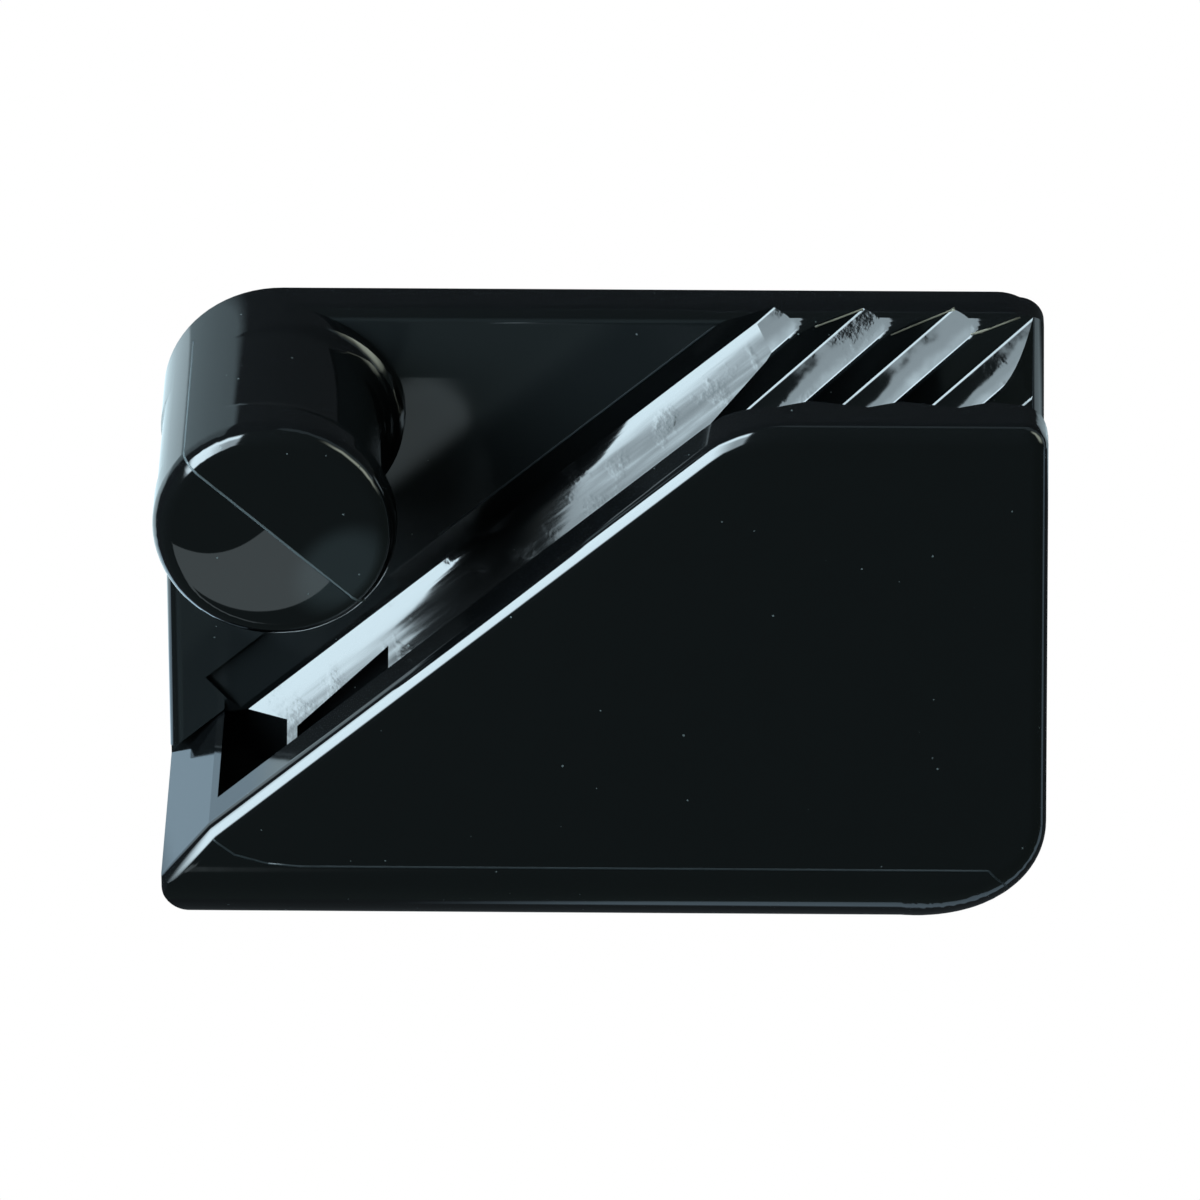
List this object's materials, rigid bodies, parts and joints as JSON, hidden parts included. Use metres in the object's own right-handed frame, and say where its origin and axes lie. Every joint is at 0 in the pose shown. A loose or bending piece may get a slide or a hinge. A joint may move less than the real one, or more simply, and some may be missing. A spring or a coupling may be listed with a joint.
{
  "type": "jam cleat",
  "caption": "Moulded side-entry jam cleat: flat-backed body with a slanted lead, a toothed V groove that grips the rope, and a round corner post.",
  "frame": {"origin": "middle of the flat mounting face, in its plane", "axes": "+X along the body from the post's end to the toothed end; +Y towards the long side where the rope enters; +Z out of the mounting surface, towards the front face"},
  "size_m": [0.06, 0.0412, 0.0191],
  "materials": {
    "cleat_body": "gloss black"
  },
  "bodies": {
    "root": {"cleat_body": "cleat_body"}
  },
  "joints": []
}
